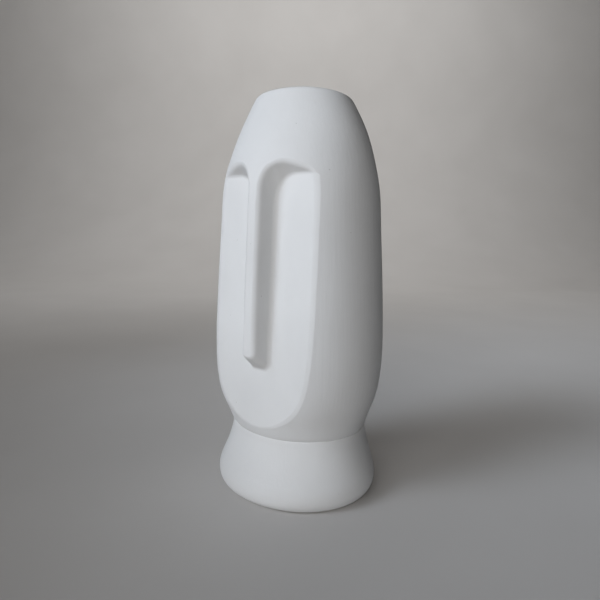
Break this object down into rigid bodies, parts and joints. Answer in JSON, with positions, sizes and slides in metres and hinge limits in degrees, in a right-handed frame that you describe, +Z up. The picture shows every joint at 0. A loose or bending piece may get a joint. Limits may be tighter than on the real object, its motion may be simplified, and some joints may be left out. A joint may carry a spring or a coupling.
{
  "type": "face vase",
  "caption": "Tall oval vase with an abstract face, its brow and nose standing out from a flat cheek plane, open at the top, on a flared hollow foot.",
  "frame": {"origin": "on the supporting surface, under the vase's vertical axis, at the underside of the felt ring", "axes": "+Z up along the vase's axis, the face looks towards -Y, +X is across the face"},
  "size_m": [0.135, 0.1218, 0.3007],
  "materials": {
    "bisque": "matte unglazed white ceramic",
    "slip": "matte unglazed slip, slightly darker",
    "felt": "black felt"
  },
  "bodies": {
    "root": {"vessel": "bisque", "foot": "bisque", "joint_bead": "slip", "base_pad": "felt"}
  },
  "joints": []
}
